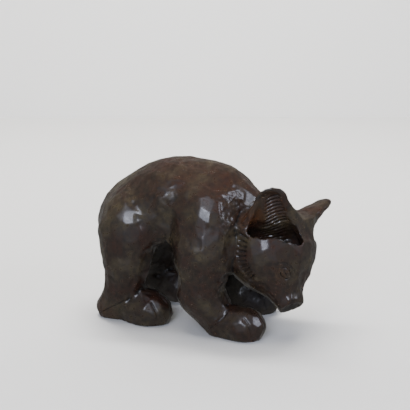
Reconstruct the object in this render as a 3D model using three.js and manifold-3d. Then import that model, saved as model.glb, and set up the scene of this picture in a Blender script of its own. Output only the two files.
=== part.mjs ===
// A bear cub carved in the round from one block of wood. It stands on four plump feet with its back
// arched high, and its head hangs down and a little to its right, so that the muzzle nearly meets the ground.
// Millimetres. +X runs towards the cub's head, +Y to its left and +Z up. The soles lie flat at z = 0.
// The forms are distance functions that melt into each other. One skin is drawn over them and thinned
// to few faces, and the soles are then cut flat.

import * as THREE from "three";
import { mergeVertices } from "three/addons/utils/BufferGeometryUtils.js";
import Module from "manifold-3d";

// Driving sizes of the body, measured from a point on the ground between the four feet.
const rumpX = -52;
const rumpZ = 107;
const rumpHalf = [66, 60, 62];
const ribsX = -12;
const ribsZ = 144;
const ribsHalf = [58, 55, 48];
const withersX = 37;
const withersZ = 139;
const withersHalf = [40, 48, 46];
const chestZ = 112;
const chestHalf = [42, 40, 40];
const archX = -13;
const archZ = 54;
const archRadius = 38;

// The legs, each a thick post that grows out of the body.
const hindStance = 42;
const foreStance = 41;
const haunchX = -63;
const haunchZ = 104;
const haunchHalf = [34, 30, 46];
const kneeZ = 66;
const kneeRadius = 29;
const hindAnkleX = -70;
const hindAnkleZ = 30;
const hindAnkleRadius = 23;
const hindHeelX = -84;
const hindHeelZ = 12;
const hindHeelRadius = 20;
const shoulderX = 36;
const shoulderZ = 116;
const shoulderHalf = [35, 26, 50];
const elbowX = 32;
const elbowZ = 88;
const elbowRadius = 29;
const wristX = 32;
const wristZ = 46;
const wristRadius = 28;

// The feet: a low heel, and toes that swell to a dome.
const hindFootX = -90;
const hindFootRadius = 10;
const hindToesX = -38;
const hindToesHalf = [32, 23, 24];
const hindToesZ = 14;
const foreHeelX = 56;
const foreHeelRadius = 21;
const foreToesX = 80;
const foreToesHalf = [30, 23, 23];
const foreToesZ = 14;
const leftPawBack = 14;

// The head hangs from the withers: its place, how far it is turned to the cub's right and bowed.
const headX = 101;
const headY = 1;
const headZ = 90;
const headTurn = THREE.MathUtils.degToRad(35);
const headBow = THREE.MathUtils.degToRad(49);
const headTilt = THREE.MathUtils.degToRad(26);
const skullHalf = [54, 54, 52];
const neckZ = 132;
const neckRadius = 45;
const neckBack = 24;
const neckRise = 2;
const neckEndRadius = 40;
const neckNarrowing = 1.4;
const skullBack = 5;
const muzzleRoot = 30;
const muzzleDrop = 3;
const muzzleReach = 68;
const muzzleRadius = 15;
const muzzleRootRadius = 27;

// The ears: cups on the back of the crown that open forwards and outwards.
const earSpread = 30;
const earBack = -23;
const earRise = 30;
const earLength = 29;
const earRootRadius = 35;
const earTipRadius = 19;
const earFlatness = 2.5;
const earBlend = 12;
const earLean = THREE.MathUtils.degToRad(5);
const leftEarTurn = THREE.MathUtils.degToRad(14);
const leftEarBack = 3;
const earTipWay = [-0.45, 0.65, 0.61];
const earOpenWay = [0.87, 0.47, 0.14];
const earWall = 4;
const earRimFront = 1;
const earRimFlare = 0.17;
const earRimSweep = 0.25;
const hollowLow = -16;
const hollowFlatness = 2.4;
const recessLow = [6, -1];
const recessLowRadius = 14;
const recessLowDepth = 12;
const recessHigh = [1, 29];
const recessHighRadius = 10;
const recessHighDepth = 7;
const earRidges = 8;
const earRidgeShare = 0.85;
const earRidgeRise = 0.3;

// Cuts of the knife: the ruff along the rear edge of the cheeks, the eyes, the mouth, the toes and the
// creases where the feet leave the legs. Each is a wedge, its width and depth given together.
const ruffCuts = 10;
const ruffForward = 24;
const ruffUp = 36;
const ruffInner = 47;
const ruffOuter = 57;
const ruffStart = THREE.MathUtils.degToRad(219);
const ruffEnd = THREE.MathUtils.degToRad(275);
const ruffWedge = [3.4, 2.2];
const eyeAt = [38, 25, 21];
const eyeLengthWay = [-0.54, 0.83, 0];
const eyeHeightWay = [-0.5, 0, 0.85];
const eyeHalfLength = 11;
const eyeHalfHeight = 6;
const eyeWedge = [2.6, 1.4];
const earWedge = [3.2, 1.8];
const mouthInset = 7;
const mouthFront = [8, -9];
const mouthCorner = [44, 25, -13];
const mouthWedge = [2.6, 1.6];
const toeOffsets = [-0.5, 0, 0.5];
const toeStart = THREE.MathUtils.degToRad(68);
const toeEnd = THREE.MathUtils.degToRad(-26);
const toeSplay = 0.4;
const toeWedge = [3.4, 2];
const creaseWedge = [4.5, 2.6];
const wedgeLift = 1;
const wedgeTip = 0.15;
const creaseLow = 5;

// How softly neighbouring forms run together.
const bodyBlend = 26;
const legBlend = 16;
const muzzleBlend = 14;
const footBlend = 7;
const rimBlend = 3;
const neckBlend = 6;

// How finely the skin is drawn, and how many faces it keeps.
const scanSpan = 300;
const scanStep = 15;
const skinStep = 2.5;
const soleSpare = 6;
const faceCount = 5600;

// How the skin is thinned: the cost of the first pass, its growth from pass to pass, the most passes, and the
// least cosine of the turn that a face may make.
const firstCost = 1e-3;
const costGrowth = 1.5;
const mostPasses = 60;
const mostTurn = 0.3;

// How a knife path is laid on the surface: the share of a distance that one step takes, the gap at which it
// has arrived, the farthest that it travels and the most steps.
const landStride = 0.6;
const landGap = 0.02;
const landReach = 60;
const landSteps = 80;

const smooth = (a, b, reach) => {
  const share = Math.max(reach - Math.abs(a - b), 0) / reach;
  return Math.min(a, b) - (share * share * reach) / 4;
};
const carve = (solid, tool, reach) => -smooth(-solid, tool, reach);

// A ball with three half sizes along the axes of its own frame.
function ball(centre, half, frame = [[1, 0, 0], [0, 1, 0], [0, 0, 1]]) {
  const [cx, cy, cz] = centre;
  const [a, b, c] = half;
  const [u, v, w] = frame;
  return (x, y, z) => {
    const dx = x - cx;
    const dy = y - cy;
    const dz = z - cz;
    const p = (dx * u[0] + dy * u[1] + dz * u[2]) / a;
    const q = (dx * v[0] + dy * v[1] + dz * v[2]) / b;
    const r = (dx * w[0] + dy * w[1] + dz * w[2]) / c;
    const near = Math.sqrt(p * p + q * q + r * r);
    const slope = Math.sqrt((p * p) / (a * a) + (q * q) / (b * b) + (r * r) / (c * c));
    return slope > 0 ? (near * (near - 1)) / slope : -Math.min(a, b, c);
  };
}

// A round limb whose radius changes evenly from one end to the other.
function limb(from, to, fromRadius, toRadius) {
  const axis = to.map((value, i) => value - from[i]);
  const square = axis[0] ** 2 + axis[1] ** 2 + axis[2] ** 2;
  return (x, y, z) => {
    const dx = x - from[0];
    const dy = y - from[1];
    const dz = z - from[2];
    const t = Math.min(Math.max((dx * axis[0] + dy * axis[1] + dz * axis[2]) / square, 0), 1);
    const ex = dx - t * axis[0];
    const ey = dy - t * axis[1];
    const ez = dz - t * axis[2];
    return Math.sqrt(ex * ex + ey * ey + ez * ez) - fromRadius - t * (toRadius - fromRadius);
  };
}

// The head's own axes: forwards along the muzzle, to its left, and up through the crown.
const headPose = new THREE.Matrix4()
  .makeRotationZ(-headTurn)
  .multiply(new THREE.Matrix4().makeRotationY(headBow))
  .multiply(new THREE.Matrix4().makeRotationX(-headTilt));
const [muzzleWay, leftWay, crownWay] = [0, 1, 2].map((column) =>
  new THREE.Vector3().setFromMatrixColumn(headPose, column).toArray(),
);
const inHead = (forward, left, up) =>
  [headX, headY, headZ].map(
    (value, i) => value + forward * muzzleWay[i] + left * leftWay[i] + up * crownWay[i],
  );

// The trunk: rump, ribs, withers and chest.
function trunk() {
  const rump = ball([rumpX, 0, rumpZ], rumpHalf);
  const ribs = ball([ribsX, 0, ribsZ], ribsHalf);
  const withers = ball([withersX, 0, withersZ], withersHalf);
  const chest = ball([withersX, 0, chestZ], chestHalf);
  const arch = limb([archX, -scanSpan, archZ], [archX, scanSpan, archZ], archRadius, archRadius);
  return (x, y, z) => {
    const back = smooth(smooth(rump(x, y, z), ribs(x, y, z), bodyBlend), withers(x, y, z), bodyBlend);
    return carve(smooth(back, chest(x, y, z), legBlend), arch(x, y, z), bodyBlend);
  };
}

// One hind leg with its foot, on the side that the sign gives.
function hindLeg(side) {
  const y = side * hindStance;
  const haunch = ball([haunchX, y, haunchZ], haunchHalf);
  const shank = limb([haunchX, y, kneeZ], [hindAnkleX, y, hindAnkleZ], kneeRadius, hindAnkleRadius);
  const heel = limb([hindAnkleX, y, hindAnkleZ], [hindHeelX, y, hindHeelZ], hindAnkleRadius, hindHeelRadius);
  const wedge = limb([hindFootX, y, 0], [hindToesX, y, hindToesZ], hindFootRadius, hindToesHalf[1]);
  const toes = ball([hindToesX, y, hindToesZ], hindToesHalf);
  return {
    leg: (px, py, pz) => {
      const upper = smooth(haunch(px, py, pz), shank(px, py, pz), legBlend);
      return smooth(upper, heel(px, py, pz), footBlend);
    },
    foot: (px, py, pz) => smooth(wedge(px, py, pz), toes(px, py, pz), footBlend),
  };
}

// One foreleg with its paw.
function foreLeg(side) {
  const y = side * foreStance;
  const back = side > 0 ? leftPawBack : 0;
  const shoulder = ball([shoulderX, y, shoulderZ], shoulderHalf);
  const arm = limb([elbowX, y, elbowZ], [wristX, y, wristZ], elbowRadius, wristRadius);
  const wrist = limb([wristX, y, wristZ], [foreHeelX - back, y, foreToesZ], wristRadius, foreHeelRadius);
  const toes = ball([foreToesX - back, y, foreToesZ], foreToesHalf);
  return {
    leg: (px, py, pz) => {
      const lower = smooth(arm(px, py, pz), wrist(px, py, pz), footBlend);
      return smooth(lower, shoulder(px, py, pz), bodyBlend);
    },
    foot: toes,
  };
}

// The axes of an ear: where its tip points, where it opens, and across it towards the other ear.
function earAxes(side) {
  const turn = side > 0 ? leftEarTurn : 0;
  const mirrored = ([forward, left, up]) =>
    new THREE.Vector3(forward, side * left, up)
      .applyAxisAngle(new THREE.Vector3(1, 0, 0), -earLean)
      .applyAxisAngle(new THREE.Vector3(0, 1, 0), turn);
  const tip = mirrored(earTipWay).normalize();
  const open = mirrored(earOpenWay);
  open.addScaledVector(tip, -open.dot(tip)).normalize();
  const across = tip.clone().cross(open).multiplyScalar(-side);
  return [tip, open, across].map((way) => way.applyMatrix4(headPose).toArray());
}

// The middle of an ear's root. The left ear sits a little farther back.
function earRoot(side) {
  return inHead(earBack - (side > 0 ? leftEarBack : 0), side * earSpread, earRise);
}

// A cup on each side of the crown, with a deeper recess in its upper part, towards the crown. Its rim lies in
// a plane that comes forwards towards the other ear and towards the root. Shell, hollow and recess are each a
// flattened limb between two places, given across the ear, along it and in front of its middle or its rim.
function ear(side) {
  const [tip, open, across] = earAxes(side);
  const root = earRoot(side);
  const measures = (x, y, z) =>
    [across, tip, open].map(
      (way) => (x - root[0]) * way[0] + (y - root[1]) * way[1] + (z - root[2]) * way[2],
    );
  const rim = (s, t) => earRimFront + earRimFlare * s + earRimSweep * (earLength + earTipRadius - t);
  const leaf = (low, high, lowRadius, highRadius, flatness, front) => {
    const from = [low[0], low[1], flatness * low[2]];
    const to = [high[0], high[1], flatness * high[2]];
    const flat = limb(from, to, lowRadius, highRadius);
    return (x, y, z) => {
      const [s, t, o] = measures(x, y, z);
      return flat(s, t, (o - front(s, t)) * flatness) / Math.sqrt(flatness);
    };
  };
  const base = [0, 0, 0];
  const end = [0, earLength, 0];
  const dome = leaf(base, end, earRootRadius, earTipRadius, earFlatness, () => 0);
  const deep = [...recessLow, recessLowRadius / hollowFlatness - recessLowDepth];
  const shallow = [...recessHigh, recessHighRadius / hollowFlatness - recessHighDepth];
  return {
    shell: (x, y, z) => {
      const [s, t, o] = measures(x, y, z);
      return carve(dome(x, y, z), rim(s, t) - o, rimBlend);
    },
    hollow: leaf(
      [0, hollowLow, 0],
      end,
      earRootRadius - earWall,
      earTipRadius - earWall,
      hollowFlatness,
      rim,
    ),
    recess: leaf(deep, shallow, recessLowRadius, recessHighRadius, hollowFlatness, rim),
  };
}

function head() {
  const skull = ball(inHead(-skullBack, 0, 0), skullHalf, [muzzleWay, leftWay, crownWay]);
  const from = inHead(muzzleRoot, 0, -muzzleDrop);
  const muzzle = limb(from, inHead(muzzleReach, 0, -muzzleDrop), muzzleRootRadius, muzzleRadius);
  return (x, y, z) => {
    const forward =
      (x - headX) * muzzleWay[0] + (y - headY) * muzzleWay[1] + (z - headZ) * muzzleWay[2];
    const snout = carve(muzzle(x, y, z), muzzleReach - forward, rimBlend);
    return smooth(skull(x, y, z), snout, muzzleBlend);
  };
}

function cub() {
  const body = trunk();
  const legs = [hindLeg(-1), hindLeg(1), foreLeg(-1), foreLeg(1)];
  const from = [withersX, 0, neckZ];
  const to = inHead(-neckBack, 0, neckRise);
  to[1] *= neckNarrowing;
  const nape = limb(from, to, neckRadius, neckEndRadius);
  const skull = head();
  const ears = [ear(-1), ear(1)];
  return (x, y, z) => {
    let d = body(x, y, z);
    for (const { leg } of legs) d = smooth(d, leg(x, y, z), legBlend);
    d = smooth(d, nape(x, y * neckNarrowing, z) / Math.sqrt(neckNarrowing), legBlend);
    for (const { foot } of legs) d = smooth(d, foot(x, y, z), footBlend);
    let h = skull(x, y, z);
    for (const { shell } of ears) h = smooth(h, shell(x, y, z), earBlend);
    d = smooth(d, h, neckBlend);
    for (const { hollow, recess } of ears) {
      d = carve(d, hollow(x, y, z), rimBlend);
      d = carve(d, recess(x, y, z), rimBlend);
    }
    return Math.max(d, -soleSpare - z);
  };
}

// The corners of a box that holds the form, found by trying it on a coarse grid.
function room(form) {
  const low = [scanSpan, scanSpan, scanSpan];
  const high = [-scanSpan, -scanSpan, -scanSpan];
  for (let x = -scanSpan; x <= scanSpan; x += scanStep)
    for (let y = -scanSpan; y <= scanSpan; y += scanStep)
      for (let z = -scanStep; z <= scanSpan; z += scanStep)
        if (form(x, y, z) < scanStep)
          [x, y, z].forEach((value, i) => {
            low[i] = Math.min(low[i], value);
            high[i] = Math.max(high[i], value);
          });
  low[2] = -2 * soleSpare;
  return [low.map((value) => value - skinStep), high.map((value) => value + skinStep)];
}

// Draws a skin over the form: every grid cell is cut into six tetrahedra, and each of those that the surface
// crosses gives one or two triangles.
function skin(form, low, high, step) {
  const count = low.map((value, i) => Math.ceil((high[i] - value) / step) + 1);
  const [nx, ny, nz] = count;
  const values = new Float32Array(nx * ny * nz);
  const block = 4;
  const reach = block * step * 1.2;
  for (let i = 0; i < nx; i += block)
    for (let j = 0; j < ny; j += block)
      for (let k = 0; k < nz; k += block) {
        const middle = form(
          low[0] + (i + block / 2) * step,
          low[1] + (j + block / 2) * step,
          low[2] + (k + block / 2) * step,
        );
        const far = Math.abs(middle) > reach;
        for (let a = i; a < Math.min(i + block, nx); a++)
          for (let b = j; b < Math.min(j + block, ny); b++)
            for (let c = k; c < Math.min(k + block, nz); c++)
              values[(a * ny + b) * nz + c] = far
                ? middle
                : form(low[0] + a * step, low[1] + b * step, low[2] + c * step);
      }
  const corners = [0, nz, ny * nz, (ny + 1) * nz, 1, nz + 1, ny * nz + 1, (ny + 1) * nz + 1];
  const tetrahedra = [
    [0, 2, 3, 7], [0, 3, 1, 7], [0, 1, 5, 7], [0, 5, 4, 7], [0, 4, 6, 7], [0, 6, 2, 7],
  ];
  const points = [];
  const faces = [];
  const known = new Map();
  const cells = nx * ny * nz;
  const crossing = (p, q) => {
    const key = p < q ? p * cells + q : q * cells + p;
    let index = known.get(key);
    if (index === undefined) {
      const t = Math.min(Math.max(values[p] / (values[p] - values[q]), 0.02), 0.98);
      const place = (n) => [Math.floor(n / (ny * nz)), Math.floor(n / nz) % ny, n % nz];
      const from = place(p);
      const to = place(q);
      index = points.length / 3;
      for (let i = 0; i < 3; i++) points.push(low[i] + (from[i] + t * (to[i] - from[i])) * step);
      known.set(key, index);
    }
    return index;
  };
  for (let i = 0; i < nx - 1; i++)
    for (let j = 0; j < ny - 1; j++)
      for (let k = 0; k < nz - 1; k++) {
        const base = (i * ny + j) * nz + k;
        let inside = 0;
        for (const corner of corners) inside += values[base + corner] < 0 ? 1 : 0;
        if (inside === 0 || inside === 8) continue;
        for (const tetrahedron of tetrahedra) {
          const inner = [];
          const outer = [];
          for (const n of tetrahedron) {
            const at = base + corners[n];
            (values[at] < 0 ? inner : outer).push(at);
          }
          if (inner.length === 0 || outer.length === 0) continue;
          const ring =
            inner.length === 2
              ? [[inner[0], outer[0]], [inner[0], outer[1]], [inner[1], outer[1]], [inner[1], outer[0]]]
              : inner.length === 1
                ? outer.map((o) => [inner[0], o])
                : inner.map((n) => [n, outer[0]]);
          const v = ring.map(([p, q]) => crossing(p, q));
          const at = (n) => new THREE.Vector3().fromArray(points, 3 * n);
          const normal = at(v[1]).sub(at(v[0])).cross(at(v[2]).sub(at(v[0])));
          const place = (n) =>
            new THREE.Vector3(Math.floor(n / (ny * nz)), Math.floor(n / nz) % ny, n % nz);
          const outward = place(outer[0]).sub(place(inner[0]));
          if (normal.dot(outward) < 0) v.reverse();
          faces.push(v[0], v[1], v[2]);
          if (v.length === 4) faces.push(v[0], v[2], v[3]);
        }
      }
  return { points, faces };
}

// Thins the skin by folding its cheapest edges away, each to the point that keeps the surface best. The cost
// of a point is its squared distance to the planes of the faces that it stands for, and the cost that is
// allowed rises from pass to pass.
function thin({ points, faces }, wanted) {
  const at = Float64Array.from(points);
  const corner = Int32Array.from(faces);
  const count = at.length / 3;
  const around = Array.from({ length: count }, () => []);
  const planes = new Float64Array(count * 10);
  const changed = new Int32Array(count).fill(-1);
  const met = new Int32Array(count);
  const spot = new Float64Array(3);
  const sum = new Float64Array(10);
  const before = new Float64Array(3);
  const after = new Float64Array(3);
  let left = corner.length / 3;
  let meeting = 0;

  // The normal of a face, twice its area long, with one of its corners moved to the spot.
  const cross = (face, moved, normal) => {
    const p = corner[3 * face];
    const q = corner[3 * face + 1];
    const r = corner[3 * face + 2];
    const px = p === moved ? spot[0] : at[3 * p];
    const py = p === moved ? spot[1] : at[3 * p + 1];
    const pz = p === moved ? spot[2] : at[3 * p + 2];
    const ux = (q === moved ? spot[0] : at[3 * q]) - px;
    const uy = (q === moved ? spot[1] : at[3 * q + 1]) - py;
    const uz = (q === moved ? spot[2] : at[3 * q + 2]) - pz;
    const vx = (r === moved ? spot[0] : at[3 * r]) - px;
    const vy = (r === moved ? spot[1] : at[3 * r + 1]) - py;
    const vz = (r === moved ? spot[2] : at[3 * r + 2]) - pz;
    normal[0] = uy * vz - uz * vy;
    normal[1] = uz * vx - ux * vz;
    normal[2] = ux * vy - uy * vx;
  };
  // Puts the best point for the edge in the spot and gives its cost.
  const price = (a, b) => {
    for (let i = 0; i < 10; i++) sum[i] = planes[10 * a + i] + planes[10 * b + i];
    const [xx, xy, xz, xw, yy, yz, yw, zz, zw, ww] = sum;
    const minorX = yy * zz - yz * yz;
    const minorY = xz * yz - xy * zz;
    const minorZ = xy * yz - xz * yy;
    const solvable = xx * minorX + xy * minorY + xz * minorZ;
    let square = 0;
    for (let i = 0; i < 3; i++) {
      spot[i] = (at[3 * a + i] + at[3 * b + i]) / 2;
      square += (at[3 * a + i] - at[3 * b + i]) ** 2;
    }
    if (Math.abs(solvable) > 1e-4 * (xx + yy + zz) ** 3) {
      const x = -(minorX * xw + minorY * yw + minorZ * zw) / solvable;
      const y = -(minorY * xw + (xx * zz - xz * xz) * yw + (xy * xz - xx * yz) * zw) / solvable;
      const z = -(minorZ * xw + (xy * xz - xx * yz) * yw + (xx * yy - xy * xy) * zw) / solvable;
      if ((x - spot[0]) ** 2 + (y - spot[1]) ** 2 + (z - spot[2]) ** 2 < square) {
        spot[0] = x;
        spot[1] = y;
        spot[2] = z;
      }
    }
    const [x, y, z] = spot;
    const onX = xx * x + 2 * (xy * y + xz * z + xw);
    const onY = yy * y + 2 * (yz * z + yw);
    return onX * x + onY * y + (zz * z + 2 * zw) * z + ww + square * 1e-3;
  };
  const foldsOver = (v, other) => {
    for (const face of around[v]) {
      const first = 3 * face;
      if (corner[first] === other || corner[first + 1] === other || corner[first + 2] === other) continue;
      cross(face, -1, before);
      cross(face, v, after);
      const dot = before[0] * after[0] + before[1] * after[1] + before[2] * after[2];
      if (dot < mostTurn * Math.hypot(...before) * Math.hypot(...after)) return true;
    }
    return false;
  };
  // An edge may go only when its two ends share no more than the two corners across from it.
  const sharesTwo = (a, b) => {
    meeting += 2;
    for (const face of around[a]) for (let i = 0; i < 3; i++) met[corner[3 * face + i]] = meeting;
    let shared = 0;
    for (const face of around[b])
      for (let i = 0; i < 3; i++) {
        const v = corner[3 * face + i];
        if (met[v] === meeting && v !== a && v !== b) {
          met[v] = meeting + 1;
          shared++;
        }
      }
    return shared === 2;
  };
  const fold = (a, b, pass) => {
    for (const face of around[b]) {
      const first = 3 * face;
      if (corner[first] === a || corner[first + 1] === a || corner[first + 2] === a) {
        for (let i = 0; i < 3; i++) {
          const v = corner[first + i];
          if (v !== b) around[v].splice(around[v].indexOf(face), 1);
        }
        corner[first] = -1;
        left--;
      } else {
        for (let i = 0; i < 3; i++) if (corner[first + i] === b) corner[first + i] = a;
        around[a].push(face);
      }
    }
    around[b] = [];
    for (let i = 0; i < 3; i++) at[3 * a + i] = spot[i];
    for (let i = 0; i < 10; i++) planes[10 * a + i] += planes[10 * b + i];
    changed[a] = pass;
    for (const face of around[a]) for (let i = 0; i < 3; i++) changed[corner[3 * face + i]] = pass;
  };

  for (let face = 0; face < left; face++) {
    cross(face, -1, before);
    const length = Math.hypot(...before) || 1;
    const [a, b, c] = before.map((value) => value / length);
    const v = 3 * corner[3 * face];
    const d = -(a * at[v] + b * at[v + 1] + c * at[v + 2]);
    const terms = [a * a, a * b, a * c, a * d, b * b, b * c, b * d, c * c, c * d, d * d];
    for (let i = 3 * face; i < 3 * face + 3; i++) {
      around[corner[i]].push(face);
      for (let k = 0; k < 10; k++) planes[10 * corner[i] + k] += terms[k] * length;
    }
  }
  for (let pass = 0, allowed = firstCost; left > wanted && pass < mostPasses; pass++, allowed *= costGrowth)
    for (let first = 0; first < corner.length && left > wanted; first += 3)
      for (let i = 0; i < 3 && corner[first] >= 0; i++) {
        const a = corner[first + i];
        const b = corner[first + ((i + 1) % 3)];
        if (changed[a] === pass || changed[b] === pass || price(a, b) > allowed) continue;
        if (sharesTwo(a, b) && !foldsOver(a, b) && !foldsOver(b, a)) fold(a, b, pass);
      }

  const number = new Map();
  const thinned = { points: [], faces: [] };
  for (let first = 0; first < corner.length; first += 3)
    for (let i = first; i < first + 3 && corner[first] >= 0; i++) {
      const v = corner[i];
      if (!number.has(v)) {
        number.set(v, number.size);
        thinned.points.push(at[3 * v], at[3 * v + 1], at[3 * v + 2]);
      }
      thinned.faces.push(number.get(v));
    }
  return thinned;
}

// The place on the surface of the form that is found from a nearby point along a straight line. Where the
// line misses the surface, the place is the one that comes closest to it.
function land(form, from, way) {
  let best = from;
  let bestGap = Infinity;
  let travelled = 0;
  for (let step = 0; step < landSteps && Math.abs(travelled) < landReach && bestGap > landGap; step++) {
    const point = from.map((value, i) => value + travelled * way[i]);
    const gap = form(...point);
    if (Math.abs(gap) < bestGap) {
      bestGap = Math.abs(gap);
      best = point;
    }
    travelled += gap * landStride;
  }
  return best;
}

// The way straight out of the form at a point.
function outOf(form, [x, y, z]) {
  const d = 1;
  return new THREE.Vector3(
    form(x + d, y, z) - form(x - d, y, z),
    form(x, y + d, z) - form(x, y - d, z),
    form(x, y, z + d) - form(x, y, z - d),
  ).normalize();
}

// One cut of the knife along points on the surface: a wedge that starts fine, bites and runs out again. It
// reaches above the surface, so that no chip is left over it.
function gouge(form, path, [width, depth]) {
  const points = path.map((point) => new THREE.Vector3(...point));
  const last = points.length - 1;
  const corners = [];
  points.forEach((point, i) => {
    const out = outOf(form, point.toArray());
    const along = points[Math.min(i + 1, last)].clone().sub(points[Math.max(i - 1, 0)]).normalize();
    const side = along.cross(out).normalize();
    const bite = Math.max(Math.sqrt(Math.sin((Math.PI * i) / last)), wedgeTip);
    const place = (aside, up) => point.clone().addScaledVector(side, aside).addScaledVector(out, up);
    const half = (width / 2) * (bite + wedgeLift);
    corners.push(place(0, -bite * depth), place(half, wedgeLift * depth), place(-half, wedgeLift * depth));
  });
  const ring = corners.length / points.length;
  const end = ring * last;
  const triangles = [];
  for (let k = 1; k < ring - 1; k++) triangles.push(0, k, k + 1, end, end + k + 1, end + k);
  for (let i = 0; i < end; i += ring)
    for (let k = 0; k < ring; k++) {
      const next = (k + 1) % ring;
      triangles.push(i + k, i + ring + next, i + next, i + k, i + ring + k, i + ring + next);
    }
  return { points: corners.flatMap((corner) => corner.toArray()), faces: triangles };
}

// Points evenly along a curve that a function of 0 to 1 gives.
const trace = (count, curve) => Array.from({ length: count }, (_, i) => curve(i / (count - 1)));

// All the knife cuts on one side of the cub.
function carving(form, side) {
  const skull = head();
  const centre = inHead(0, 0, 0);
  const onHead = (forward, left, up) => {
    const way = inHead(forward, side * left, up).map((value, i) => centre[i] - value);
    const length = Math.hypot(...way);
    const inwards = way.map((value) => value / length);
    const start = centre.map((value, i) => value - skullHalf[0] * inwards[i]);
    return land(form, land(skull, start, inwards), inwards);
  };
  const cuts = [];

  for (let i = 0; i < ruffCuts; i++) {
    const angle = ruffStart + ((ruffEnd - ruffStart) * i) / (ruffCuts - 1);
    const cut = trace(4, (t) => {
      const radius = ruffInner + t * (ruffOuter - ruffInner);
      const forward = ruffForward + radius * Math.cos(angle);
      const up = ruffUp + radius * Math.sin(angle);
      return onHead(forward, Math.sqrt(skullHalf[1] ** 2 - forward ** 2 - up ** 2), up);
    });
    cuts.push(gouge(form, cut, ruffWedge));
  }

  for (const lid of [1, -1]) {
    const arc = trace(7, (t) => {
      const reach = eyeHalfLength * Math.cos(Math.PI * t);
      const rise = lid * eyeHalfHeight * Math.sin(Math.PI * t);
      return onHead(...eyeAt.map((value, i) => value + reach * eyeLengthWay[i] + rise * eyeHeightWay[i]));
    });
    cuts.push(gouge(form, arc, eyeWedge));
  }

  const [tip, open, across] = earAxes(side);
  const root = earRoot(side);
  for (let i = 0; i < earRidges; i++) {
    const share = i / (earRidges - 1);
    const [aside, rise] = recessLow.map((value, k) => value + share * (recessHigh[k] - value));
    const half = earRidgeShare * (recessLowRadius + share * (recessHighRadius - recessLowRadius));
    const ridge = trace(5, (t) => {
      const s = (2 * t - 1) * half;
      const along = rise + earRidgeRise * s;
      const from = root.map((value, k) => value + (aside + s) * across[k] + along * tip[k]);
      return land(form, from, open.map((value) => -value));
    });
    cuts.push(gouge(form, ridge, earWedge));
  }

  const mouth = trace(6, (t) => {
    const place = [muzzleReach - mouthInset, ...mouthFront].map(
      (value, i) => value + t * (mouthCorner[i] - value),
    );
    return onHead(...place);
  });
  cuts.push(gouge(form, mouth, mouthWedge));

  const back = side > 0 ? leftPawBack : 0;
  const feet = [
    [hindToesX, side * hindStance, hindToesZ, hindToesHalf],
    [foreToesX - back, side * foreStance, foreToesZ, foreToesHalf],
  ];
  for (const [x, y, z, half] of feet)
    for (const offset of toeOffsets) {
      const toe = trace(5, (t) => {
        const angle = toeStart + t * (toeEnd - toeStart);
        const ahead = [half[0] * Math.cos(angle), 0, half[2] * Math.sin(angle)];
        const aside = offset * half[1] * (1 + toeSplay * Math.cos(angle));
        const start = [x + ahead[0], y + aside, z + ahead[2]];
        const length = Math.hypot(...ahead);
        return land(form, start, ahead.map((value) => -value / length));
      });
      cuts.push(gouge(form, toe, toeWedge));
    }

  const inwards = [0, -side, 0];
  const hindCrease = trace(5, (t) => {
    const x = hindFootX - creaseLow + t * (hindToesX - hindFootX);
    const z = creaseLow + t * (hindToesZ + hindToesHalf[2] - 2 * creaseLow);
    return land(form, [x, side * (hindStance + hindToesHalf[1]), z], inwards);
  });
  const foreCrease = trace(5, (t) => {
    const x = foreHeelX - back - foreHeelRadius / 2 + t * (foreToesX - foreHeelX);
    const z = creaseLow + t * (foreToesZ + foreToesHalf[2] - 2 * creaseLow);
    return land(form, [x, side * (foreStance + foreToesHalf[1]), z], inwards);
  });
  cuts.push(gouge(form, hindCrease, creaseWedge), gouge(form, foreCrease, creaseWedge));
  return cuts;
}

// Cuts away everything below the ground, so that the soles are flat, and makes the cuts of the knife.
async function finish(rough, cuts) {
  const wasm = await Module();
  wasm.setup();
  const solid = ({ points, faces }) =>
    new wasm.Manifold(
      new wasm.Mesh({
        numProp: 3,
        vertProperties: Float32Array.from(points),
        triVerts: Uint32Array.from(faces),
      }),
    );
  const ground = new THREE.BoxGeometry(2 * scanSpan, 2 * scanSpan, scanSpan).translate(0, 0, -scanSpan / 2);
  ground.deleteAttribute("normal");
  ground.deleteAttribute("uv");
  const floor = mergeVertices(ground);
  const waste = [{ points: floor.attributes.position.array, faces: floor.index.array }, ...cuts].map(solid);
  const cut = solid(rough).subtract(wasm.Manifold.union(waste)).getMesh();
  const geometry = new THREE.BufferGeometry();
  geometry.setAttribute("position", new THREE.BufferAttribute(cut.vertProperties, 3));
  geometry.setIndex(new THREE.BufferAttribute(cut.triVerts, 1));
  return geometry;
}

const form = cub();
const [low, high] = room(form);
const rough = thin(skin(form, low, high, skinStep), faceCount);
const geometry = await finish(rough, [...carving(form, -1), ...carving(form, 1)]);
geometry.computeBoundingBox();
const middle = geometry.boundingBox.getCenter(new THREE.Vector3());
geometry.translate(-middle.x, -middle.y, 0);
geometry.computeVertexNormals();

const bear = new THREE.Mesh(
  geometry,
  new THREE.MeshStandardMaterial({ color: 0x3a2a20, roughness: 0.35, metalness: 0 }),
);
bear.name = "bear_cub";
const sculpture = new THREE.Group();
sculpture.add(bear);
export default sculpture;
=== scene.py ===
"""A bear cub carved in the round from one block of wood, dark and waxed, on a pale floor."""

import logging
import math
import random
from collections.abc import Iterable
from dataclasses import dataclass, field
from enum import Enum
from itertools import product

import bmesh
import bpy
from mathutils import Matrix, Vector
from mathutils.bvhtree import BVHTree
from mathutils.kdtree import KDTree


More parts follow.
